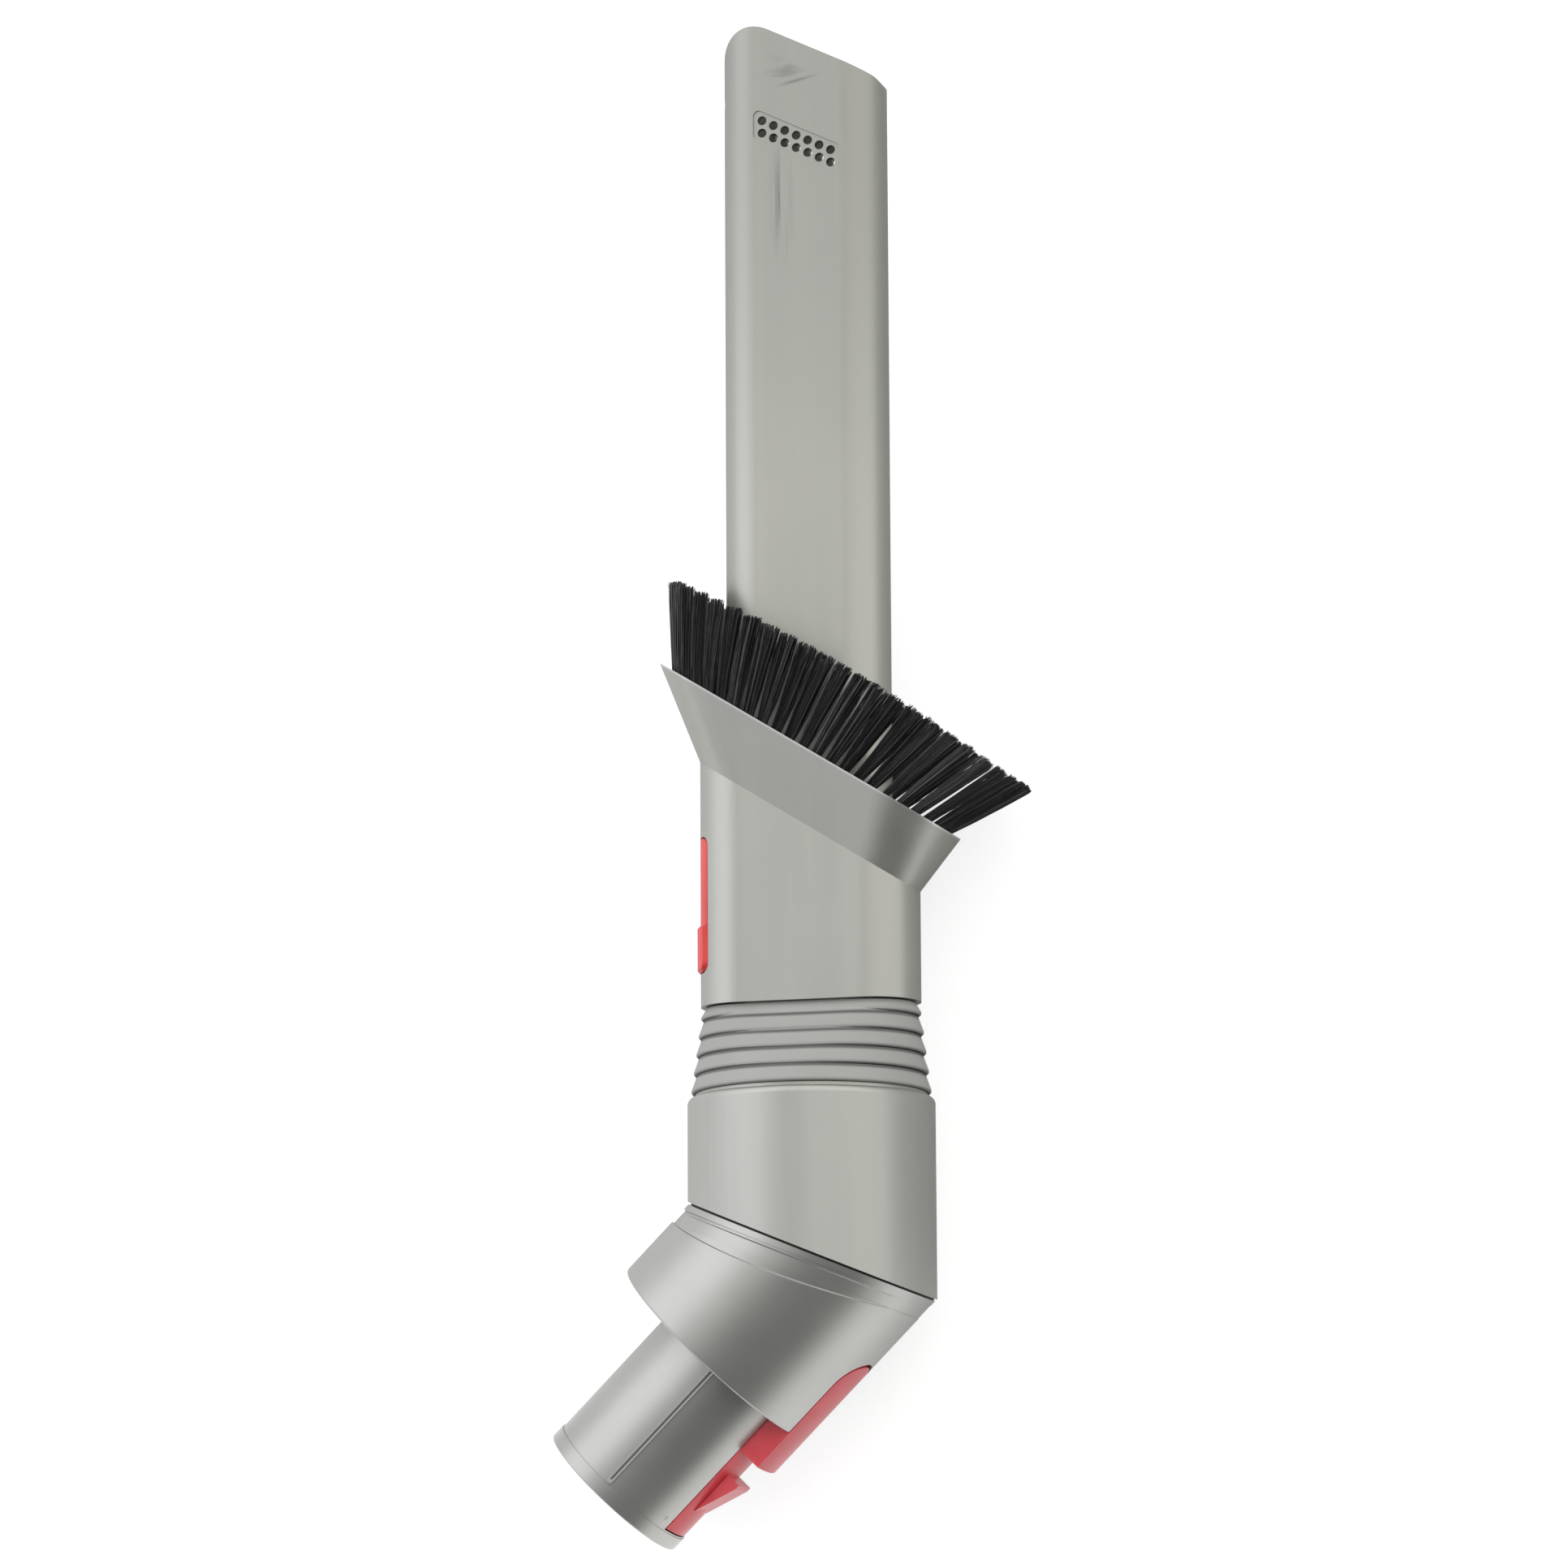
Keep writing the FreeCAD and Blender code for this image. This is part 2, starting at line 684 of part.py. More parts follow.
def hook():
    """Wedge on the lever: a catch face towards the collar and a ramp towards the mouth."""
    low = spigot_offset + spigot_radius - lever_thickness / 2
    high = spigot_offset + spigot_radius + hook_height
    outline = Part.makePolygon([
        Vector(low, -hook_width / 2, hook_start),
        Vector(high, -hook_width / 2, hook_start),
        Vector(high, -hook_width / 2, hook_start + hook_flat),
        Vector(low, -hook_width / 2, hook_start + hook_length),
        Vector(low, -hook_width / 2, hook_start),
    ])
    return Part.Face(outline).extrude(Vector(0, hook_width, 0))


def latch_pin():
    return put(latch_pin_bar(latch_pin_radius, latch_pin_length), connector_frame)


def latch_spring():
    """Coil between the trough's floor and the hollow underside of the latch's button."""
    coil_radius = spring_radius + spring_wire
    low = spigot_offset + trough_floor + spring_wire
    high = math.sqrt((collar_radius - latch_skin) ** 2 - coil_radius ** 2) - spring_wire
    steps = spring_turns * spring_steps
    sections = []
    for step in range(steps + 1):
        turn = 2 * math.pi * step / spring_steps
        centre = Vector(low + (high - low) * step / steps, 0, spring_place)
        outward = Vector(0, math.cos(turn), math.sin(turn))
        points = []
        for corner in range(spring_sides + 1):
            angle = 2 * math.pi * corner / spring_sides
            reach_out = outward * (spring_radius + spring_wire * math.cos(angle))
            points.append(centre + reach_out + X * (spring_wire * math.sin(angle)))
        sections.append(Part.makePolygon(points))
    return put(Part.makeLoft(sections, True, True), connector_frame)


# Brush sleeve


def flare_form(inset_sleeve, inset_mouth, start, outline):
    """Sleeve and flare as one solid, drawn in by an inset at the sleeve and one at the mouth."""
    width = sleeve_width - 2 * inset_sleeve
    depth = sleeve_depth - 2 * inset_sleeve
    bottom = put(outline(width, depth, start), tube_frame)
    crease = sloped(outline(width, depth), crease_height)
    mouth = put(outline(mouth_length - 2 * inset_mouth, mouth_depth - 2 * inset_mouth), mouth_frame)
    return Part.makeLoft([bottom, crease, mouth], True, True)


def brush_sleeve():
    outside = flare_form(0, 0, sleeve_bottom, oval)
    inside = flare_form(sleeve_wall, mouth_wall, sleeve_bottom + sleeve_lip, faceted_oval)
    hole_width = tube_width + 2 * sleeve_clearance
    hole_depth = tube_depth + 2 * sleeve_clearance
    passage = oval_prism(hole_width, hole_depth, sleeve_bottom - 1, reach)
    body = outside.cut([inside, passage])
    right_rib = box(
        tube_width / 2 + sleeve_clearance,
        sleeve_width / 2 - sleeve_wall / 2,
        sleeve_bottom + sleeve_lip / 2,
        sleeve_bottom + guide_rib_length,
        -guide_rib_width / 2,
        guide_rib_width / 2,
    )
    body = body.fuse(right_rib)
    half = button_width / 2 + button_gap
    low = button_bottom - button_gap
    high = button_top + button_gap
    window = box(-reach / 4, -tube_width / 2 + button_corner, low, high, -half, half)
    corners = [edge for edge in window.Edges if edge.BoundBox.YLength < 0.01 and edge.BoundBox.ZLength < 0.01]
    window = window.makeFillet(button_corner, corners)
    pin = button_pin_bar(button_pin_radius, button_pin_length)
    return body.cut([window, pin])


def button_axis():
    """Place of the catch button's axis in plan."""
    return Vector(-sleeve_width / 2 + button_pivot_inset, button_pivot_height, 0)


def button_pin_bar(radius, length):
    """Cylinder on the catch button's axis."""
    return Part.makeCylinder(radius, length, button_axis() - Z * (length / 2), Z)


def slide_button():
    """Rocking button: a shell flush with the sleeve, a thumb pad, lugs on the pin, and an arm with a tooth."""
    half = button_width / 2
    face = -sleeve_width / 2
    plan = box(-reach / 4, -tube_width / 2 + button_corner, button_bottom, button_top, -half, half)
    corners = [edge for edge in plan.Edges if edge.BoundBox.YLength < 0.01 and edge.BoundBox.ZLength < 0.01]
    plan = plan.makeFillet(button_corner, corners)
    skin = oval_prism(sleeve_width, sleeve_depth, button_bottom, button_top)
    inner_width = sleeve_width - 2 * button_wall
    inner_depth = sleeve_depth - 2 * button_wall
    core = oval_prism(inner_width, inner_depth, button_bottom - 1, button_top + 1)
    pad = oval_prism(sleeve_width + 2 * pad_proud, sleeve_depth + 2 * pad_proud, button_bottom, pad_top)
    pad_edges = [edge for edge in pad.Edges if edge.BoundBox.YLength < 0.01]
    pad = pad.makeChamfer(pad_chamfer, pad_edges)
    shell = plan.common(skin.fuse(pad)).cut(core)
    lugs = []
    for side in (1, -1):
        lug = Part.makeCylinder(button_lug_radius, button_lug_width, button_axis() + Z * button_lug_inner, Z)
        root = box(
            face + button_wall / 2,
            button_axis().x,
            button_pivot_height - button_lug_radius,
            button_pivot_height + button_lug_radius,
            button_lug_inner,
            button_lug_inner + button_lug_width,
        )
        lug = lug.fuse(root).common(oval_prism(sleeve_width - button_wall, sleeve_depth - button_wall, 0, reach))
        if side < 0:
            lug = lug.mirror(Vector(0, 0, 0), Z)
        lugs.append(lug)
    arm_face = face + catch_arm_inset
    arm_inner = arm_face + catch_arm_thickness
    tooth_tip = -tube_width / 2 - catch_tooth_gap
    arm_half = catch_arm_width / 2
    neck_low = button_top - catch_neck_drop
    arm = box(arm_face, arm_inner, neck_low, catch_arm_top, -arm_half, arm_half)
    neck = box(face + button_wall / 2, arm_inner, neck_low, neck_low + catch_neck_height, -arm_half, arm_half)
    tooth_low = catch_arm_top - catch_tooth_height
    tooth = box(arm_face, tooth_tip, tooth_low, catch_arm_top, -arm_half, arm_half)
    hole = button_pin_bar(button_pin_radius + button_pin_play, button_width + 2)
    return shell.fuse(lugs + [arm, neck, tooth]).cut(hole)


def button_pin():
    return button_pin_bar(button_pin_radius, button_pin_length)


def button_spring():
    """Leaf on the sleeve's bottom lip that pushes the thumb pad out."""
    floor = sleeve_bottom + sleeve_lip
    under_pad = -sleeve_width / 2 + button_wall + leaf_thickness
    upright = -tube_width / 2 - leaf_stand
    path = [
        Vector(upright + leaf_foot, floor, 0),
        Vector(upright, floor, 0),
        Vector(upright, floor + leaf_knee_height, 0),
        Vector(under_pad + leaf_bend_gap, floor + leaf_bend_height, 0),
        Vector(under_pad + leaf_end_gap, floor + leaf_end_height, 0),
    ]
    return strip(path[::-1], leaf_thickness, leaf_width)


# Brush


def brush_ring():
    """Ring seated inside the flare's mouth, with a hole for each tuft."""
    fill = flare_form(sleeve_wall, mouth_wall, sleeve_bottom + sleeve_lip, faceted_oval)
    fill = fill.common(half_space(mouth_frame, -ring_sink - ring_thickness, -ring_sink))
    inset = 2 * (mouth_wall + ring_width)
    hole = Part.Face(oval(mouth_length - inset, mouth_depth - inset, -reach / 8)).extrude(Z * (reach / 4))
    holes = [tuft_hole(*tuft) for tuft in tufts()]
    return fill.cut([put(hole, mouth_frame)] + holes)


def tufts():
    """Root and direction of every tuft, evenly round the ring, in the mouth's frame."""
    inset = mouth_wall + tuft_inset
    radius = mouth_depth / 2 - inset
    straight = mouth_length - 2 * inset - 2 * radius - tuft_left_margin
    around = 2 * straight + 2 * math.pi * radius
    step = around / tuft_count
    lean_ends = math.tan(math.radians(tuft_lean_ends))
    lean_sides = math.tan(math.radians(tuft_lean_sides))
    placed = []
    for index in range(tuft_count):
        x, y = oval_point(straight, radius, (index + 0.5) * step)
        share_x = x / (straight / 2 + radius)
        share_y = y / radius
        direction = Vector(lean_ends * share_x, lean_sides * share_y, 1).normalize()
        placed.append((Vector(x + tuft_left_margin / 2, y, -ring_sink), direction))
    return placed


def oval_point(straight, radius, run):
    """Point at a run along a flat oval's outline, which starts at the middle of the side at -Y."""
    half_turn = math.pi * radius
    if run < straight / 2:
        return run, -radius
    run -= straight / 2
    if run < half_turn:
        angle = run / radius - math.pi / 2
        return straight / 2 + radius * math.cos(angle), radius * math.sin(angle)
    run -= half_turn
    if run < straight:
        return straight / 2 - run, radius
    run -= straight
    if run < half_turn:
        angle = run / radius + math.pi / 2
        return -straight / 2 + radius * math.cos(angle), radius * math.sin(angle)
    return run - half_turn - straight / 2, -radius


def tapered_bar(start, end, start_radius, end_radius):
    """Many-sided bar between two points, in the mouth's frame."""
    direction = (end - start).normalize()
    side = direction.cross(Y).normalize()
    other = direction.cross(side)
    rings = []
    for centre, radius in ((start, start_radius), (end, end_radius)):
        points = []
        for corner in range(tuft_sides + 1):
            angle = 2 * math.pi * corner / tuft_sides
            points.append(centre + side * (radius * math.cos(angle)) + other * (radius * math.sin(angle)))
        rings.append(Part.makePolygon(points))
    return put(Part.makeLoft(rings, True, True), mouth_frame)


def tuft_hole(root, direction):
    """Cutter for one tuft's hole."""
    radius = tuft_root_radius + tuft_hole_play
    return tapered_bar(root - direction * tuft_root_depth, root + direction * tuft_root_depth, radius, radius)


def tuft(root, direction):
    """One tuft, which widens from its root to its tip."""
    tip = root + direction * tuft_length
    return tapered_bar(root - direction * tuft_root_depth, tip, tuft_root_radius, tuft_tip_radius)


def bristle_groups():
    """Tufts grouped by the side of the mouth that they stand on."""
    straight_end = mouth_length / 2 - mouth_depth / 2
    groups = {"bristles_front": [], "bristles_rear": [], "bristles_left": [], "bristles_right": []}
    for root, direction in tufts():
        if root.x > straight_end:
            name = "bristles_right"
        elif root.x < -straight_end:
            name = "bristles_left"
        elif root.y < 0:
            name = "bristles_front"
        else:
            name = "bristles_rear"
        groups[name].append(tuft(root, direction))
    return {name: Part.Compound(solids) for name, solids in groups.items()}


def build():
    """Every sub-part by its name, about the swivel's centre."""
    parts = {
        "crevice_tube": crevice_tube(),
        "ribbed_neck": ribbed_neck(),
        "grip_body": grip_body(),
        "swivel_clip": swivel_clip(),
        "swivel_seal": swivel_seal(),
        "elbow_collar": elbow_collar(),
        "spigot": spigot(),
        "release_latch": release_latch(),
        "latch_pin": latch_pin(),
        "latch_spring": latch_spring(),
        "brush_sleeve": brush_sleeve(),
        "slide_button": slide_button(),
        "button_pin": button_pin(),
        "button_spring": button_spring(),
        "brush_ring": brush_ring(),
    }
    parts.update(bristle_groups())
    return parts


os.makedirs("parts", exist_ok=True)
for name, shape in build().items():
    shape.translate(-mouth_centre)
    shape.exportStep(f"parts/{name}.step")
    solids = len(shape.Solids)
    print(f"{name}: solids {solids}, volume {shape.Volume:.1f}, valid {shape.isValid()}")
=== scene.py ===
import math
import random

import bpy
from mathutils import Matrix, Vector


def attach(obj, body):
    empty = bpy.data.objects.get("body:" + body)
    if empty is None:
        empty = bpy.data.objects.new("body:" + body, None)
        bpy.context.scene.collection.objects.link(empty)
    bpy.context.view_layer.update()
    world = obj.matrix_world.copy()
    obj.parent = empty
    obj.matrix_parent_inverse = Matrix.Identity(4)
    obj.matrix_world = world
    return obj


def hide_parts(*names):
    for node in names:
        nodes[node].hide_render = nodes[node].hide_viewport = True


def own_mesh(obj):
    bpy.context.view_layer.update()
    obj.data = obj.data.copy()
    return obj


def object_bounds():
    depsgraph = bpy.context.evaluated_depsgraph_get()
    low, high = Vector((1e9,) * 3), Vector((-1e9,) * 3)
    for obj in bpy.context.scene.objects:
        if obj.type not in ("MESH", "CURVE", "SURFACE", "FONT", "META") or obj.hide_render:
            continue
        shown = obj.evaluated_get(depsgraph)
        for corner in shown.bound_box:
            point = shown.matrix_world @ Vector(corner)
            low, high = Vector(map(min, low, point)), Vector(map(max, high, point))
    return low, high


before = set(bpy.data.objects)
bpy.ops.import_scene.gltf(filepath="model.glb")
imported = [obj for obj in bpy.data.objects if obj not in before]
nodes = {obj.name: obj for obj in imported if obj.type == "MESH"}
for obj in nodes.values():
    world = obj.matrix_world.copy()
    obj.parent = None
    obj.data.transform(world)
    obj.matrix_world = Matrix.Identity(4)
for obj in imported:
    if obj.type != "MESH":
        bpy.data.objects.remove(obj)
cad_low, cad_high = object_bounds()
mm = 0.001

# The crevice tube is one long moulding in silver-grey ABS with a fine satin skin. Its flow lines run along
# the tube, the flats carry a row of bleed holes below the slanted tip, and the tip is scuffed by use.

tube_grey = (0.405, 0.405, 0.372, 1)
tube_pale = (0.44, 0.44, 0.402, 1)
scuff_and_darkening_grey = (0.2, 0.2, 0.185, 1)
flow_stretch = (190, 7, 190)          # streaks are long along the tube
grain_scale = 1500
cloud_scale = 20
tip_scuff = (43.5 * mm, 305.5 * mm, 8.3 * mm)
tip_scuff_reach = (11, 5, 40)         # millimetres
tip_line = (44.5 * mm, 303 * mm, 8.3 * mm)
tip_line_reach = (6.5, 0.55, 40)
tip_line_turn = math.radians(-12)
tube_streak = (40.6 * mm, 276 * mm, 8.3 * mm)
tube_streak_reach = (3.2, 17, 40)
tube_metal = 0.72
tube_gloss = 0.4
wear_and_shade_roughness = 0.2
polish_smoothness = 0.12
skin_depth = 0.02 * mm
darker_from = 190 * mm               # the outer length, from which the tube is darker towards the tip
darker_full = 300 * mm
rub_stretch = (90, 330, 90)
scratch_stretch = (900, 22, 300)


class Field:
    """A value that changes over a surface, on its way through one finish."""

    def __init__(self, finish, socket):
        self.finish = finish
        self.socket = socket

    def reckon(self, operation, first, second=0.0):
        return self.finish.node("ShaderNodeMath", {"operation": operation}, {0: first, 1: second})

    def __add__(self, other):
        return self.reckon("ADD", self, other)

    def __sub__(self, other):
        return self.reckon("SUBTRACT", self, other)

    def __rsub__(self, other):
        return self.reckon("SUBTRACT", other, self)

    def __mul__(self, other):
        return self.reckon("MULTIPLY", self, other)

    def __pow__(self, other):
        return self.reckon("POWER", self, other)

    def __abs__(self):
        return self.reckon("ABSOLUTE", self)

    def fraction(self):
        return self.reckon("FRACT", self)

    __radd__ = __add__
    __rmul__ = __mul__


class Finish:
    """The nodes of one material or of the room, with a method that adds any node to them."""

    def __init__(self, owner):
        self.owner = owner
        owner.use_nodes = True
        self.tree = owner.node_tree
        nodes_there = self.tree.nodes
        self.shader = nodes_there.get("Principled BSDF") or nodes_there["Background"]
        place_kind = "Object" if "Principled BSDF" in nodes_there else "Generated"
        self.place = self.node("ShaderNodeTexCoord", output=place_kind)

    def node(self, kind, settings=None, values=None, output=0):
        """Adds a node: its settings first, then the numbers or links of its sockets."""
        made = self.tree.nodes.new(kind)
        for key, value in (settings or {}).items():
            setattr(made, key, value)
        for key, value in (values or {}).items():
            self.feed(made.inputs[key], value)
        return Field(self, made.outputs[output])

    def feed(self, socket, value):
        if isinstance(value, Field):
            self.tree.links.new(value.socket, socket)
        else:
            socket.default_value = value

    def set(self, values):
        """Sets or links the sockets of the shader itself."""
        for key, value in values.items():
            self.feed(self.shader.inputs[key], value)

    def stretched(self, factors):
        """The place, scaled by a factor on each axis."""
        return self.node("ShaderNodeMapping", None, {"Vector": self.place, "Scale": factors})

    def noise(self, place, scale, detail=3.0, rough=0.55):
        values = {"Vector": place, "Scale": scale, "Detail": detail, "Roughness": rough}
        return self.node("ShaderNodeTexNoise", None, values)

    def ramp(self, value, low, high):
        """0 below low, 1 above high, and a smooth rise between them."""
        settings = {"interpolation_type": "SMOOTHSTEP"}
        return self.node("ShaderNodeMapRange", settings, {"Value": value, "From Min": low, "From Max": high})

    def blend(self, share, first, second):
        """Colour that goes from the first to the second by a share."""
        return self.node("ShaderNodeMix", {"data_type": "RGBA"}, {0: share, 6: first, 7: second}, output=2)

    def axis(self, name):
        """One coordinate of the place."""
        return self.node("ShaderNodeSeparateXYZ", None, {0: self.place}, output=name)

    def near(self, centre, reach, turn=0.0):
        """1 at a centre, and 0 from the reach on: millimetres along each axis, turned in the tool's plane."""
        factors = tuple(1 / (length * mm) for length in reach)
        back = {"Vector": self.place, "Location": tuple(-at for at in centre)}
        moved = self.node("ShaderNodeMapping", None, back)
        turned = self.node("ShaderNodeMapping", None, {"Vector": moved, "Rotation": (0, 0, turn)})
        local = self.node("ShaderNodeMapping", None, {"Vector": turned, "Scale": factors})
        away = self.node("ShaderNodeVectorMath", {"operation": "LENGTH"}, {0: local}, output="Value")
        return 1 - self.ramp(away, 0.0, 1.0)

    def bump(self, height, strength, depth):
        values = {"Height": height, "Strength": strength, "Distance": depth}
        return self.node("ShaderNodeBump", None, values)


def satin_plastic(name, dark, pale, gloss, flow, metal=tube_metal, relief=None, wear_and_shade=None, polish_and_highlight=None):
    """Fine satin moulded skin: soft clouds, long flow lines, and a fine grain that shows in the shine."""
    finish = Finish(bpy.data.materials.new(name))
    clouds = finish.noise(finish.place, cloud_scale, 4)
    lines = finish.noise(finish.stretched(flow), 1, 3)
    skin = finish.noise(finish.place, grain_scale, 2)
    colour = finish.blend(finish.ramp(clouds * 0.5 + lines * 0.5, 0.32, 0.68), dark, pale)
    rough = clouds * 0.1 + lines * 0.05 + skin * 0.05 + (gloss - 0.1)
    # This share darkens the colour: real wear on the tube, and painted shade in the grooves of the ribs and
    # hairpin ribs.
    if wear_and_shade:
        wear_and_shade_share, wear_and_shade_grey = wear_and_shade(finish)
        colour = finish.blend(wear_and_shade_share, colour, wear_and_shade_grey)
        rough = rough + wear_and_shade_share * wear_and_shade_roughness
    # This share brightens the colour with a painted highlight, and gives a real smoother finish.
    if polish_and_highlight:
        bright, shine = polish_and_highlight(finish)
        colour = finish.blend(bright, colour, shine)
        rough = rough - bright * polish_smoothness
    normal = finish.bump(skin + lines * 0.4, 0.12, skin_depth)
    if relief:
        height, depth = relief(finish)
        values = {"Height": height, "Distance": depth, "Normal": normal}
        normal = finish.node("ShaderNodeBump", None, values)
    finish.set({"Base Color": colour, "Metallic": metal, "Roughness": rough, "Normal": normal})
    return finish


def dress(node, finish):
    """Gives a carried-over solid its finish on every slot."""
    for place in nodes[node].material_slots:
        place.material = finish.owner


def tube_wear_and_darkening(finish):
    """Rubbed marks by the tip, one thin streak below the bleed holes, fine scratches round them, and a darker
    outer length towards the tip.
    """
    rubs = finish.ramp(finish.noise(finish.stretched(rub_stretch), 1, 3), 0.42, 0.64)
    thin = finish.ramp(finish.noise(finish.stretched(scratch_stretch), 1, 2), 0.45, 0.62)
    scuffs = finish.near(tip_scuff, tip_scuff_reach) * rubs * 0.4
    scuffs = scuffs + finish.near(tip_line, tip_line_reach, tip_line_turn) * 0.45
    streaks = finish.near(tube_streak, tube_streak_reach) * thin * 0.5
    # Darker over the outer length towards the tip.
    darker_to_tip = finish.ramp(finish.axis("Y"), darker_from, darker_full) * 0.3
    return scuffs + streaks + darker_to_tip, scuff_and_darkening_grey


tube = satin_plastic("satin_tube", tube_grey, tube_pale, tube_gloss, flow_stretch, wear_and_shade=tube_wear_and_darkening)
dress("crevice_tube", tube)

# The ribbed neck is a band of softer, matt plastic in the same grey, moulded over the tube's root.
# Each rib ends in a lip at its lower edge, and the groove under it is darkened with painted shade.

rib_grey = (0.35, 0.35, 0.335, 1)
rib_pale = (0.385, 0.385, 0.37, 1)
# Dark colour of painted shade, for the grooves of the ribs and of the hairpin ribs.
groove_shade_grey = (0.075, 0.075, 0.07, 1)
rib_gloss = 0.62
soft_clouds = (40, 40, 40)
rib_pitch = 4.05 * mm
rib_top_lip = 99.31 * mm
rib_groove = 0.8 * mm
rib_groove_shade = 0.85
ribs_below = 20                       # whole pitches, so that the count starts above zero


def rib_shadow(finish):
    """Painted shade in the groove under each lip."""
    pitches = (finish.axis("Y") - (rib_top_lip - rib_groove / 2)) * (1 / rib_pitch)
    phase = (pitches + (ribs_below + 0.5)).fraction()
    groove = 1 - finish.ramp(abs(phase - 0.5), 0.04, rib_groove / rib_pitch)
    return groove * rib_groove_shade, groove_shade_grey


ribs = satin_plastic(
    "soft_ribs", rib_grey, rib_pale, rib_gloss, soft_clouds, metal=0.0, wear_and_shade=rib_shadow
)
dress("ribbed_neck", ribs)

# The grip is a round shell of the tube's plastic, with the same satin skin. It is pressed over the tube's
# plug and ends in the oblique wall that the elbow turns in.

grip_grey = (0.42, 0.42, 0.395, 1)
grip_pale = (0.455, 0.455, 0.425, 1)
grip_gloss = 0.4

grip = satin_plastic("satin_grip", grip_grey, grip_pale, grip_gloss, flow_stretch)
dress("grip_body", grip)

# The swivel turns on a journal that a spring-steel clip holds, with a black rubber ring between the faces.
# The latch and the brush's catch turn on drawn steel pins.

steel_grey = (0.5, 0.5, 0.49, 1)
rubber_black = (0.02, 0.02, 0.021, 1)
drawn_lines = (900, 900, 60)
dust_scale = 400


def turned_steel(name):
    """Bright drawn wire or turned pin."""
    finish = Finish(bpy.data.materials.new(name))
    lines = finish.noise(finish.stretched(drawn_lines), 1, 3)
    finish.set({
        "Base Color": steel_grey,
        "Metallic": 1.0,
        "Roughness": lines * 0.2 + 0.2,
        "Normal": finish.bump(lines, 0.1, 0.01 * mm),
    })
    return finish


steel = turned_steel("clip_steel")
for name in ("swivel_clip", "latch_pin", "button_pin", "latch_spring", "button_spring"):
    dress(name, steel)
rubber = Finish(bpy.data.materials.new("seal_rubber"))
dust = rubber.noise(rubber.place, dust_scale, 4)
rubber.set({
    "Base Color": rubber_black,
    "Roughness": dust * 0.2 + 0.55,
    "Normal": rubber.bump(dust, 0.2, 0.03 * mm),
})
dress("swivel_seal", rubber)

# A thin black rubber sheet, standing in as painted shade for the parting gap, fills it to just below the
# skin, so that no light shows through it. It is oval, as the oblique faces are, and turns with the elbow.

gap_sheet_thickness = 0.3 * mm
gap_sheet_round = 25.6 * mm                 # half its width, across the tool
gap_sheet_long = 27.75 * mm
gap_sheet_inside = 0.9                      # share of the outline that stays open
swivel_centre = (43.912 * mm, 49.71 * mm)
swivel_slope = math.radians(22.5)


def deselect():
    bpy.ops.object.select_all(action="DESELECT")


deselect()
bpy.ops.mesh.primitive_circle_add(vertices=96, radius=gap_sheet_round, fill_type="NOTHING")
gap_shade_sheet = bpy.context.view_layer.objects.active
gap_shade_sheet.name = "swivel_gap_shade_sheet"
bpy.ops.object.mode_set(mode="EDIT")
bpy.ops.mesh.select_all(action="SELECT")
bpy.ops.mesh.extrude_region_move()
bpy.ops.transform.resize(value=(gap_sheet_inside, gap_sheet_inside, 1))
bpy.ops.mesh.select_all(action="SELECT")
bpy.ops.mesh.extrude_region_move(TRANSFORM_OT_translate={"value": (0, 0, gap_sheet_thickness)})
bpy.ops.mesh.select_all(action="SELECT")
bpy.ops.transform.translate(value=(0, 0, -gap_sheet_thickness / 2))
bpy.ops.mesh.normals_make_consistent(inside=False)
bpy.ops.object.mode_set(mode="OBJECT")
gap_shade_sheet.data.transform(Matrix((
    (math.cos(swivel_slope) * gap_sheet_long / gap_sheet_round, 0, -math.sin(swivel_slope), swivel_centre[0]),
    (-math.sin(swivel_slope) * gap_sheet_long / gap_sheet_round, 0, -math.cos(swivel_slope), swivel_centre[1]),
    (0, 1, 0, 0),
    (0, 0, 0, 1),
)))
gap_shade_sheet.data.materials.append(rubber.owner)
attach(gap_shade_sheet, "elbow")

# The coil under the latch and the leaf behind the brush's catch are spring steel. Each is held at its foot
# and shortens in the tool when a thumb presses the red part over it; here it keeps its length and moves with
# its body.


def pressed_spring(node, body):
    """A spring's own steel copy of the part, with its doubled points merged, carried by a body in the part's
    place.
    """
    made = bpy.data.objects.new(f"{node}_pressed", nodes[node].data.copy())
    bpy.context.scene.collection.objects.link(made)
    made.data.transform(nodes[node].matrix_world)
    deselect()
    made.select_set(True)
    bpy.context.view_layer.objects.active = made
    bpy.ops.object.mode_set(mode="EDIT")
    bpy.ops.mesh.select_all(action="SELECT")
    bpy.ops.mesh.remove_doubles(threshold=0.01 * mm)
    bpy.ops.mesh.normals_make_consistent(inside=False)
    bpy.ops.object.mode_set(mode="OBJECT")
    made.data.materials.clear()
    made.data.materials.append(steel.owner)
    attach(made, body)
    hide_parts(node)
    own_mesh(made)


pressed_spring("latch_spring", "elbow")
pressed_spring("button_spring", "brush")

# The elbow's collar and the male connector are glossier mouldings of the same plastic. The collar has a
# pressed-in crescent below the swivel, and the connector has hairpin ribs, with a painted highlight on
# their rims and painted shade in their grooves.

collar_grey = (0.4, 0.4, 0.385, 1)
collar_pale = (0.435, 0.435, 0.415, 1)
crescent_top = 2.3 * mm               # from the swivel's parting line
crescent_foot = 4.6 * mm
crescent_sag = 2.2 * mm
crescent_edge = 0.16 * mm
crescent_depth = 0.35 * mm
collar_radius = 26 * mm
connector_gloss = 0.35
fine_clouds = (60, 60, 60)


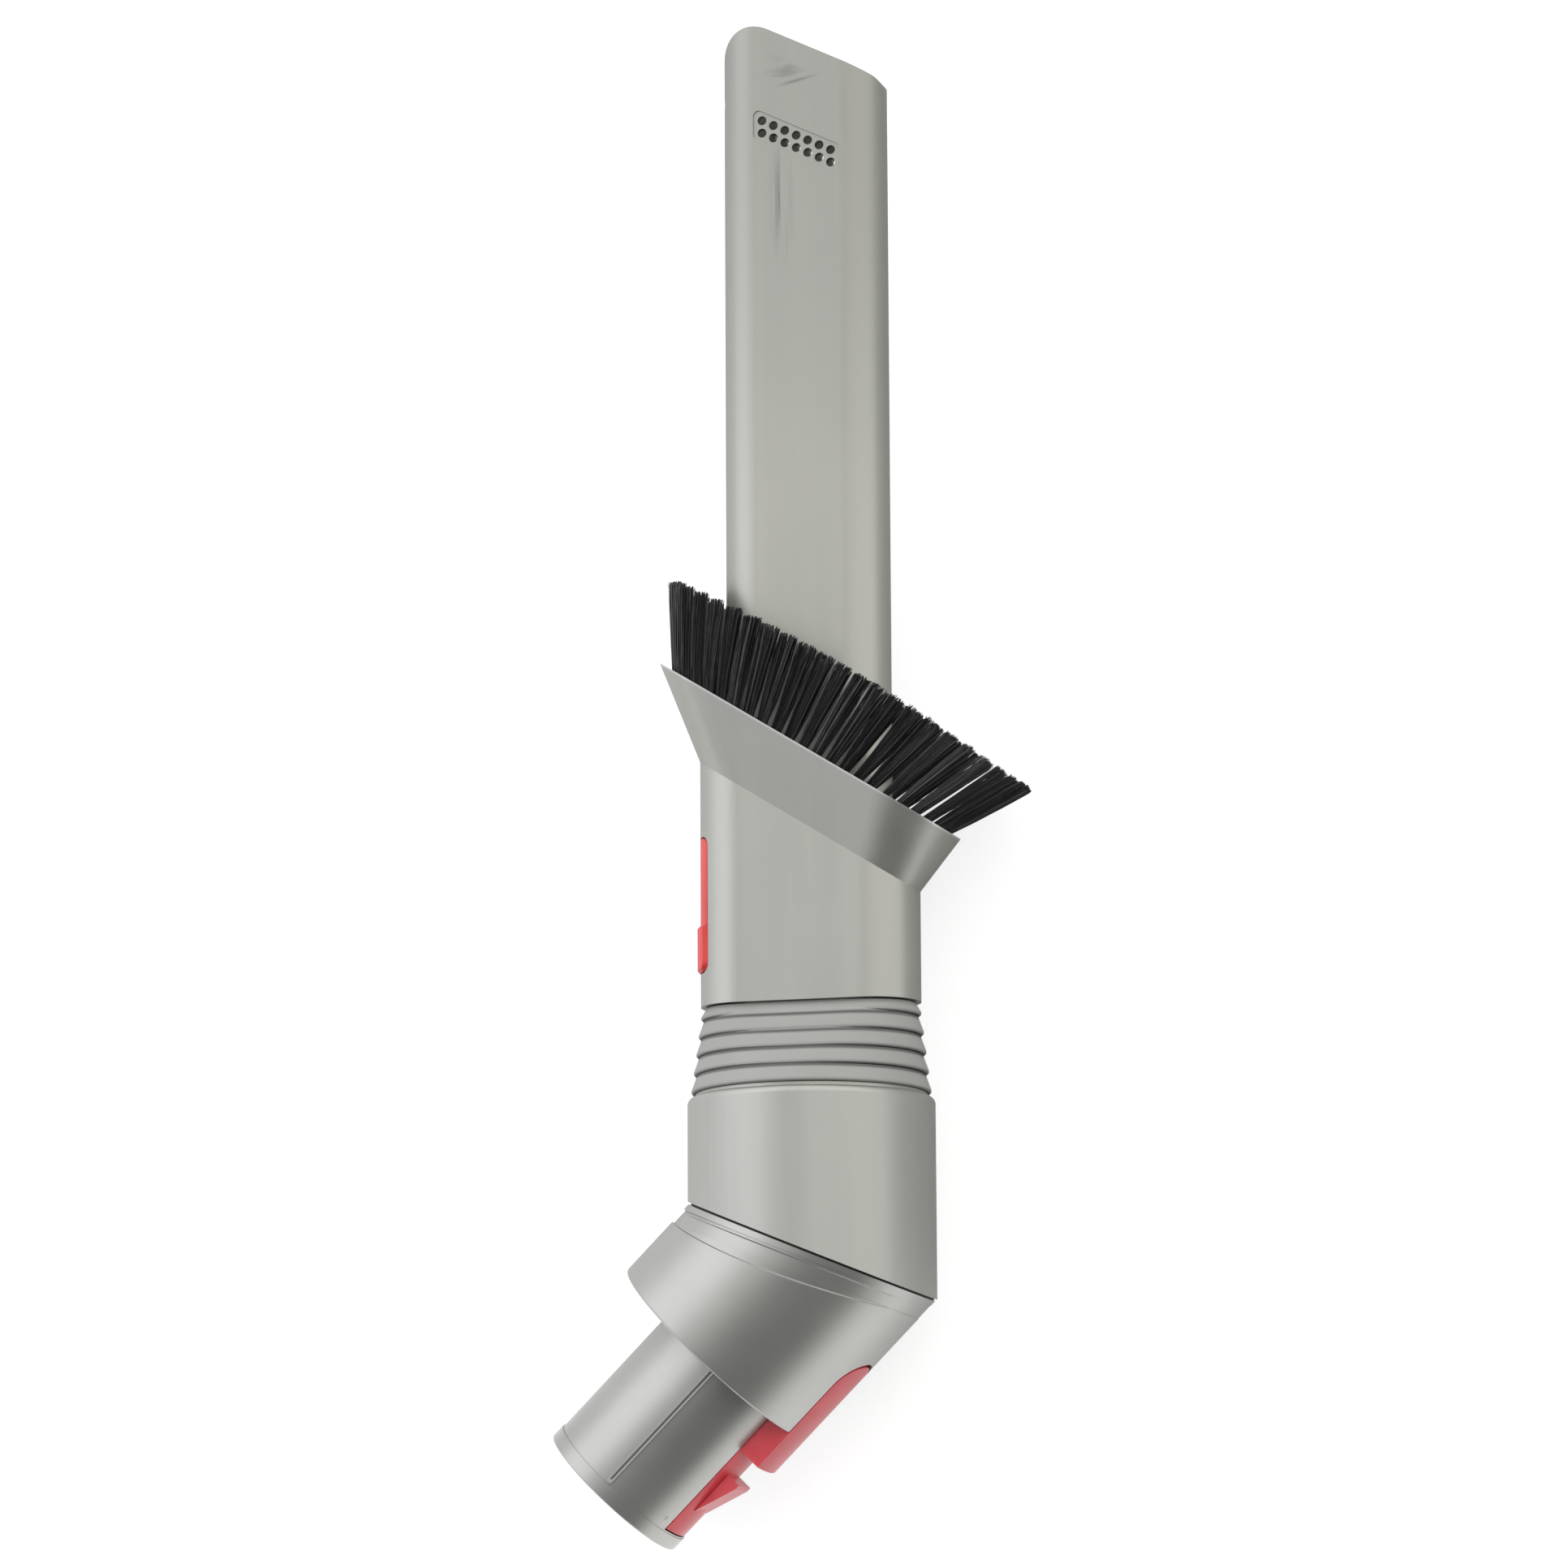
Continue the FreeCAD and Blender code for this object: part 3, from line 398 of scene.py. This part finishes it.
def crescent(finish):
    """Shallow crescent-shaped step below the swivel's parting line, deepest at the front and back."""
    x = finish.axis("X") - swivel_centre[0]
    y = finish.axis("Y") - swivel_centre[1]
    z = finish.axis("Z") * (1 / collar_radius)
    below = x * -math.sin(swivel_slope) - y * math.cos(swivel_slope)
    foot = below - z * z * crescent_sag
    step_in = finish.ramp(below, crescent_top - crescent_edge, crescent_top + crescent_edge)
    step_out = finish.ramp(foot, crescent_foot - crescent_edge, crescent_foot + crescent_edge)
    deeper = finish.ramp(z * z, 0.05, 0.45)
    return (step_out - step_in) * deeper, crescent_depth


collar = satin_plastic(
    "satin_collar", collar_grey, collar_pale, connector_gloss, fine_clouds, relief=crescent
)
dress("elbow_collar", collar)

hairpin_top = 17.56 * mm              # from the connector's axis
hairpin_angle = math.radians(83)      # from the latch, on both sides
hairpin_half = 0.7 * mm
hairpin_length = 36 * mm              # from the connector's mouth, up to the seat
hairpin_soft = 0.07 * mm              # over which a finish changes
hairpin_groove = 0.27 * mm            # half its width
hairpin_groove_end = 4.2 * mm         # from the connector's mouth
hairpin_groove_round = 0.5 * mm
# The grooves' dark colour is painted shade.
hairpin_groove_shade = 0.8
# The rims' pale colour is a painted highlight.
hairpin_painted_highlight = (0.7, 0.7, 0.69, 1)


def hairpin_parts(finish):
    """The rims of the hairpin ribs, and the groove down the middle of each, as two shares."""
    sideways = (finish.axis("X") - finish.axis("Y")) * math.sqrt(0.5)
    from_mouth = (finish.axis("X") + finish.axis("Y")) * math.sqrt(0.5)
    upward = abs(finish.axis("Z"))
    from_axis = (sideways * sideways + upward * upward) ** 0.5
    across = upward * math.cos(hairpin_angle) - sideways * math.sin(hairpin_angle)
    off_middle = abs(across)
    soft = hairpin_soft
    on_top = finish.ramp(from_axis, hairpin_top - soft / 2, hairpin_top + soft / 2)
    on_top = on_top * (1 - finish.ramp(off_middle, hairpin_half, hairpin_half + soft))
    on_top = on_top * (1 - finish.ramp(from_mouth, hairpin_length, hairpin_length + soft))
    groove = 1 - finish.ramp(off_middle, hairpin_groove - soft, hairpin_groove + soft)
    closed_at = hairpin_groove_end + hairpin_groove_round
    groove = groove * finish.ramp(from_mouth, hairpin_groove_end, closed_at)
    return on_top * (1 - groove), on_top * groove


def hairpin_highlight(finish):
    """The ribs' rims: a painted highlight in their colour, with a smoother finish."""
    return hairpin_parts(finish)[0], hairpin_painted_highlight


def hairpin_shade(finish):
    """Painted shade along the ribs' grooves."""
    return hairpin_parts(finish)[1] * hairpin_groove_shade, groove_shade_grey


spigot = satin_plastic(
    "satin_spigot",
    collar_grey,
    collar_pale,
    connector_gloss,
    fine_clouds,
    wear_and_shade=hairpin_shade,
    polish_and_highlight=hairpin_highlight,
)
dress("spigot", spigot)

# The release latch and the brush's catch are glossy mouldings in a red that shows which parts a thumb
# presses. The latch is a little deeper in tone than the catch.

latch_red = (0.7, 0.045, 0.065, 1)
latch_pale = (0.78, 0.07, 0.09, 1)
button_red = (0.72, 0.035, 0.035, 1)
button_pale = (0.8, 0.06, 0.055, 1)
red_clouds = 120
red_skin = 1800
red_gloss = 0.24


def red_plastic(name, dark, pale):
    """Glossy moulded skin with soft clouds of colour and a fine grain."""
    finish = Finish(bpy.data.materials.new(name))
    clouds = finish.noise(finish.place, red_clouds, 3)
    skin = finish.noise(finish.place, red_skin, 2)
    finish.set({
        "Base Color": finish.blend(finish.ramp(clouds, 0.35, 0.65), dark, pale),
        "Roughness": clouds * 0.12 + skin * 0.06 + red_gloss,
        "Normal": finish.bump(skin, 0.1, skin_depth),
    })
    return finish


dress("release_latch", red_plastic("red_latch", latch_red, latch_pale))
dress("slide_button", red_plastic("red_button", button_red, button_pale))

# The brush's sleeve and its flare are one moulding of the tube's plastic. The ring that holds the tufts is
# a duller plastic, and is pressed into the flare's mouth.

sleeve_grey = (0.41, 0.41, 0.378, 1)
sleeve_pale = (0.445, 0.445, 0.41, 1)
sleeve_gloss = 0.39
ring_gloss = 0.5
ring_metal = 0.1
# The rim's pale colour is a painted highlight.
rim_painted_highlight = (0.66, 0.66, 0.64, 1)
rim_width = 0.55 * mm
mouth_slope = math.radians(32)
mouth_centre = Vector((43.912, 157.11, 0)) * mm


def rim_highlight(finish):
    """The flare's thin rim: a painted highlight in its colour, with a smoother finish."""
    right_of = (finish.axis("X") - mouth_centre.x) * math.sin(mouth_slope)
    above = (finish.axis("Y") - mouth_centre.y) * math.cos(mouth_slope)
    return finish.ramp(right_of + above, -rim_width, -rim_width * 0.4) * 0.8, rim_painted_highlight


sleeve = satin_plastic(
    "satin_sleeve", sleeve_grey, sleeve_pale, sleeve_gloss, flow_stretch, polish_and_highlight=rim_highlight
)
dress("brush_sleeve", sleeve)
ring = satin_plastic("ring_plastic", rib_grey, sleeve_pale, ring_gloss, fine_clouds, metal=ring_metal)
dress("brush_ring", ring)

# Each tuft is a bundle of black nylon bristles, folded into its hole and cut off at one length. It stands
# closed at the root and opens into small clumps at the tip. Tufts at the ends lean out with the flare.

mouth_length = 76.7 * mm
mouth_depth = 33.0 * mm
row_inset = 3.35 * mm
row_left_margin = 1.5 * mm
ring_sink = 0.6 * mm
tuft_count = 48
tuft_length = 20.5 * mm
tuft_root = 1.08 * mm
tuft_tip_along = 2.37 * mm
tuft_tip_across = 1.6 * mm
end_tuft_narrowing = 0.62             # tufts round the right end stay apart
lean_ends = math.tan(math.radians(32))
lean_sides = math.tan(math.radians(15))
bristles_in_tuft = 120
bristle_radius = 0.085 * mm
bristle_sides = 4
bristle_crimp = 0.22 * mm
tuft_kinds = 6
clumps_in_tuft = 6
clump_scatter = 0.07                  # shares of the tuft's radius at its tip
cut_scatter = 0.035                   # share of the length
golden_turn = 2.39996                 # spreads the roots evenly over the hole
chance = random.Random(7)


def join(pieces, name):
    """Joins objects into one with a name of its own, at the origin."""
    deselect()
    for piece in pieces:
        piece.select_set(True)
    bpy.context.view_layer.objects.active = pieces[0]
    bpy.ops.object.join()
    made = bpy.context.view_layer.objects.active
    made.name = name
    made.data.name = name
    return made


def single_bristle():
    """One straight bristle up local Z, one metre long, cut across into three lengths."""
    deselect()
    bpy.ops.mesh.primitive_cylinder_add(
        vertices=bristle_sides, radius=bristle_radius, depth=1, location=(0, 0, 0.5)
    )
    made = bpy.context.view_layer.objects.active
    bpy.ops.object.transform_apply(location=True, rotation=True, scale=True)
    bpy.ops.object.mode_set(mode="EDIT")
    for height in (0.35, 0.7):
        bpy.ops.mesh.select_all(action="SELECT")
        bpy.ops.mesh.bisect(plane_co=(0, 0, height), plane_no=(0, 0, 1))
    bpy.ops.object.mode_set(mode="OBJECT")
    return made


def copied(source, matrix, crimp=None):
    """A copy of an object with its own mesh, bowed sideways by a crimp and moved by a matrix."""
    made = bpy.data.objects.new(source.name, source.data.copy())
    bpy.context.scene.collection.objects.link(made)
    if crimp:
        for vertex in made.data.vertices:
            bow = math.sin(math.pi * vertex.co.z)
            vertex.co += Vector((crimp[0] * bow, crimp[1] * bow, 0))
    made.data.transform(matrix)
    return made


def tuft_kind(bristle, number):
    """One bundle up local Z: local X runs along the row, and the tips gather in clumps."""
    clumps = []
    for index in range(clumps_in_tuft):
        turn = 2 * math.pi * (index + chance.random() * 0.6) / clumps_in_tuft
        out = 0.35 + 0.5 * chance.random()
        clumps.append(Vector((math.cos(turn) * out, math.sin(turn) * out)))
    pieces = []
    for index in range(bristles_in_tuft):
        out = math.sqrt((index + 0.5) / bristles_in_tuft)
        turn = index * golden_turn
        spot = Vector((math.cos(turn), math.sin(turn))) * out
        nearest = min(clumps, key=lambda clump: (clump - spot).length)
        tip = spot.lerp(nearest, 0.1 + 0.4 * chance.random())
        tip += Vector((chance.gauss(0, clump_scatter), chance.gauss(0, clump_scatter)))
        low = Vector((spot.x * tuft_root, spot.y * tuft_root, -ring_sink))
        length = tuft_length * (1 - abs(chance.gauss(0, cut_scatter)))
        high = Vector((tip.x * tuft_tip_along, tip.y * tuft_tip_across, length))
        run = high - low
        crimp = (chance.gauss(0, bristle_crimp), chance.gauss(0, bristle_crimp))
        stand = Matrix((
            (1, 0, run.x, low.x),
            (0, 1, run.y, low.y),
            (0, 0, run.z, low.z),
            (0, 0, 0, 1),
        ))
        piece = copied(bristle, stand, crimp)
        tone = piece.data.attributes.new("tone", "FLOAT", "POINT")
        level = chance.random()
        for value in tone.data:
            value.value = level
        pieces.append(piece)
    return join(pieces, f"tuft_kind_{number}")


def row_point(straight, radius, run):
    """Point at a run round the ring's row of tufts, and the row's direction there."""
    half_turn = math.pi * radius
    if run < straight / 2:
        return Vector((run, -radius)), Vector((1, 0))
    run -= straight / 2
    if run < half_turn:
        turn = run / radius
        spot = Vector((straight / 2 + radius * math.sin(turn), -radius * math.cos(turn)))
        return spot, Vector((math.cos(turn), math.sin(turn)))
    run -= half_turn
    if run < straight:
        return Vector((straight / 2 - run, radius)), Vector((-1, 0))
    run -= straight
    if run < half_turn:
        turn = run / radius
        spot = Vector((-straight / 2 - radius * math.sin(turn), radius * math.cos(turn)))
        return spot, Vector((-math.cos(turn), -math.sin(turn)))
    run -= half_turn
    return Vector((run - straight / 2, -radius)), Vector((1, 0))


down_slope = Vector((math.cos(mouth_slope), -math.sin(mouth_slope), 0))
out_of_mouth = Vector((math.sin(mouth_slope), math.cos(mouth_slope), 0))
to_mouth = Matrix((
    (down_slope.x, 0, out_of_mouth.x, mouth_centre.x),
    (down_slope.y, 0, out_of_mouth.y, mouth_centre.y),
    (0, -1, 0, mouth_centre.z),
    (0, 0, 0, 1),
))
bristle = single_bristle()
kinds = [tuft_kind(bristle, number) for number in range(tuft_kinds)]
row_radius = mouth_depth / 2 - row_inset
row_straight = mouth_length - 2 * row_inset - 2 * row_radius - row_left_margin
row_round = 2 * row_straight + 2 * math.pi * row_radius
straight_end = mouth_length / 2 - mouth_depth / 2
sides = {"front": [], "rear": [], "left": [], "right": []}
for index in range(tuft_count):
    spot, along = row_point(row_straight, row_radius, (index + 0.5) * row_round / tuft_count)
    lean = Vector((
        lean_ends * spot.x / (row_straight / 2 + row_radius),
        lean_sides * spot.y / row_radius,
        1,
    )).normalized()
    spot.x += row_left_margin / 2
    across = lean.cross(Vector((along.x, along.y, 0))).normalized()
    tangent = across.cross(lean)
    stand = Matrix((
        (tangent.x, across.x, lean.x, spot.x),
        (tangent.y, across.y, lean.y, spot.y),
        (tangent.z, across.z, lean.z, -ring_sink),
        (0, 0, 0, 1),
    ))
    turn = Matrix.Rotation(math.pi * chance.randrange(2), 4, "Z")
    if spot.x > straight_end:
        turn = Matrix.Diagonal((end_tuft_narrowing, end_tuft_narrowing, 1, 1)) @ turn
    piece = copied(kinds[index % tuft_kinds], to_mouth @ stand @ turn)
    if spot.x > straight_end:
        sides["right"].append(piece)
    elif spot.x < -straight_end:
        sides["left"].append(piece)
    elif spot.y < 0:
        sides["front"].append(piece)
    else:
        sides["rear"].append(piece)
for spare in kinds + [bristle]:
    bpy.data.objects.remove(spare)

nylon_black = (0.011, 0.011, 0.012, 1)
nylon_grey = (0.12, 0.12, 0.122, 1)
nylon_fleck = 700
nylon_gloss = 0.25

nylon = Finish(bpy.data.materials.new("bristle_nylon"))
tone = nylon.node("ShaderNodeAttribute", {"attribute_name": "tone"}, output="Fac")
fleck = nylon.noise(nylon.place, nylon_fleck, 3)
nylon.set({
    "Base Color": nylon.blend(nylon.ramp(tone * 0.8 + fleck * 0.2, 0.4, 1.0), nylon_black, nylon_grey),
    "Roughness": fleck * 0.2 + tone * 0.15 + nylon_gloss,
    "Normal": nylon.bump(fleck, 0.2, skin_depth),
})
for side, pieces in sides.items():
    tufts = join(pieces, f"tufts_{side}")
    tufts.data.materials.clear()
    tufts.data.materials.append(nylon.owner)
    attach(tufts, "brush")
    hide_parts(f"bristles_{side}")

# The tool lies on its back on plain pale paper, in a white room with one large soft lamp at the left.
# The paper glows a little at the left and below, as the photographer's reflectors do.

floor_size = 6.0
floor_gap = 0.2 * mm
full_glow = 1.4                       # the paper's brightest glow
seen_glow = 0.7                       # the camera sees white, with the light that falls on the paper
left_reflector = 0.35
low_reflector = 1.0
room_light = 1.3
cool_white = (0.975, 0.985, 1.03, 1)
warm_white = (1, 1, 0.985, 1)
lamp_away = Vector((-0.8, 0.45, 0.75))
lamp_size = 1.1
lamp_power = 2.4
deselect()
bpy.ops.mesh.primitive_grid_add(x_subdivisions=2, y_subdivisions=2, size=floor_size)
floor = bpy.context.view_layer.objects.active
floor.name = "floor"
floor.data.transform(Matrix.Translation((0, 0, cad_low.z - floor_gap)))
paper = Finish(bpy.data.materials.new("floor_paper"))
rays = []
for kind in ("Is Camera Ray", "Is Glossy Ray", "Is Transmission Ray"):
    rays.append(paper.node("ShaderNodeLightPath", output=kind))
left_glow = paper.ramp(paper.axis("X") * -1, -0.03, 0.04)
low_glow = paper.ramp(paper.axis("Y") * -1, -0.06, 0.03)
reflected = left_glow * left_reflector + low_glow * low_reflector
glow = rays[0] * seen_glow + (rays[1] + rays[2]) * reflected
paper.set({
    "Base Color": (0.6, 0.6, 0.6, 1),
    "Roughness": 0.9,
    "Emission Color": paper.blend(glow * (1 / full_glow), (0, 0, 0, 1), (1, 1, 1, 1)),
    "Emission Strength": full_glow,
})
floor.data.materials.append(paper.owner)

world = bpy.data.worlds.new("studio")
bpy.context.scene.world = world
room = Finish(world)
across = room.axis("X")


def patch(centre, inner, outer):
    """1 round a direction, fading to 0 between two distances from it."""
    values = {0: room.place, 1: centre}
    away = room.node("ShaderNodeVectorMath", {"operation": "DISTANCE"}, values, output="Value")
    return 1 - room.ramp(away, inner, outer)


low = room.axis("Y") * -1
high = room.axis("Z")
between_windows = patch((-0.25, 0.17, 0.95), 0.08, 0.42) * 0.4
left_shade = room.ramp(across * -1, 0.4, 0.8) * 0.14
low_shade = room.ramp(low, -0.08, 0.3) * 0.3
dark_corner = room.ramp(low, -0.06, 0.13) * room.ramp(across, -0.63, -0.17)
dark_corner = dark_corner * room.ramp(high, 0.0, 0.35) * 0.89
right_window = room.ramp(across, -0.05, 0.35) * 0.2
light = (room_light + right_window - between_windows - left_shade - low_shade) * (1 - dark_corner)
seen = room.node("ShaderNodeLightPath", output="Is Camera Ray")
room.set({
    "Color": room.blend(room.ramp(across * -1, 0.1, 0.8), warm_white, cool_white),
    "Strength": light * (1 - seen) + seen,
})

middle = (cad_low + cad_high) / 2
lamp_data = bpy.data.lights.new("lamp_left", "AREA")
lamp_data.shape = "SQUARE"
lamp_data.size = lamp_size
lamp_data.energy = lamp_power
lamp = bpy.data.objects.new("lamp_left", lamp_data)
bpy.context.scene.collection.objects.link(lamp)
lamp.location = middle + lamp_away
lamp.rotation_euler = lamp_away.to_track_quat("Z", "Y").to_euler()

# The camera stands where the photographer did: a little to the right of the tool and below its middle,
# and far enough away for a long lens to flatten the tool.

camera_turn = math.radians(15.3)      # round the tube, towards +X
camera_tilt = math.radians(9.6)       # the tip leans away
camera_roll = math.radians(-0.3)
camera_reach = 1427 * mm
camera_scale = 5746                   # pixels of the photograph to a metre at the tool
photo_width = 1932
aim_point = Vector((43.9, 180.0, 0)) * mm
aim_right = -5.31 * mm
aim_up = -29.67 * mm

towards = Vector((
    math.sin(camera_turn) * math.cos(camera_tilt),
    -math.sin(camera_tilt),
    math.cos(camera_turn) * math.cos(camera_tilt),
))
level_right = Vector((0, 1, 0)).cross(towards).normalized()
level_up = towards.cross(level_right)
right = level_right * math.cos(camera_roll) + level_up * math.sin(camera_roll)
up = level_up * math.cos(camera_roll) - level_right * math.sin(camera_roll)
camera_place = aim_point + right * aim_right + up * aim_up + towards * camera_reach
lens = bpy.data.cameras.new("camera")
lens.sensor_width = 36
lens.lens = lens.sensor_width * camera_scale * camera_reach / photo_width
lens.clip_start = 0.01
lens.clip_end = 20
camera = bpy.data.objects.new("camera", lens)
bpy.context.scene.collection.objects.link(camera)
camera.matrix_world = Matrix((
    (right.x, up.x, towards.x, camera_place.x),
    (right.y, up.y, towards.y, camera_place.y),
    (right.z, up.z, towards.z, camera_place.z),
    (0, 0, 0, 1),
))
bpy.context.scene.camera = camera
bpy.context.scene.view_settings.view_transform = "Standard"
